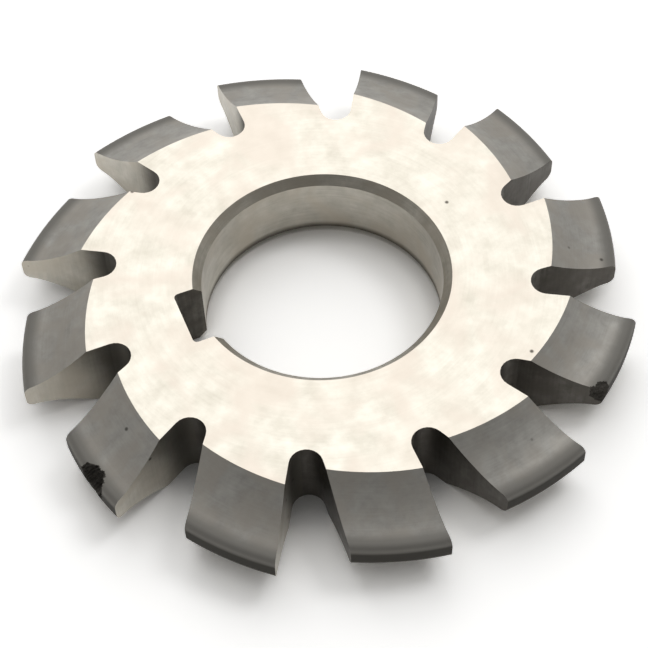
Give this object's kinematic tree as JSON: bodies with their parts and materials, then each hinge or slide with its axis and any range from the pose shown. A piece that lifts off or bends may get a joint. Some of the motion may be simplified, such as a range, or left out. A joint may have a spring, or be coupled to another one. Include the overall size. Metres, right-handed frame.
{
  "type": "involute gear milling cutter",
  "caption": "Flat disc milling cutter with form-relieved teeth that cut the gap between two gear teeth, with a keyed arbor bore.",
  "frame": {"origin": "on the bore's axis at the lower hub face", "axes": "+Z along the bore, out of the upper hub face; the keyway is centred on -X; the teeth cut turning anticlockwise seen from +Z"},
  "size_m": [0.07, 0.07, 0.0092],
  "materials": {
    "ground_steel": "ground"
  },
  "bodies": {
    "root": {"cutter": "ground_steel"}
  },
  "joints": []
}
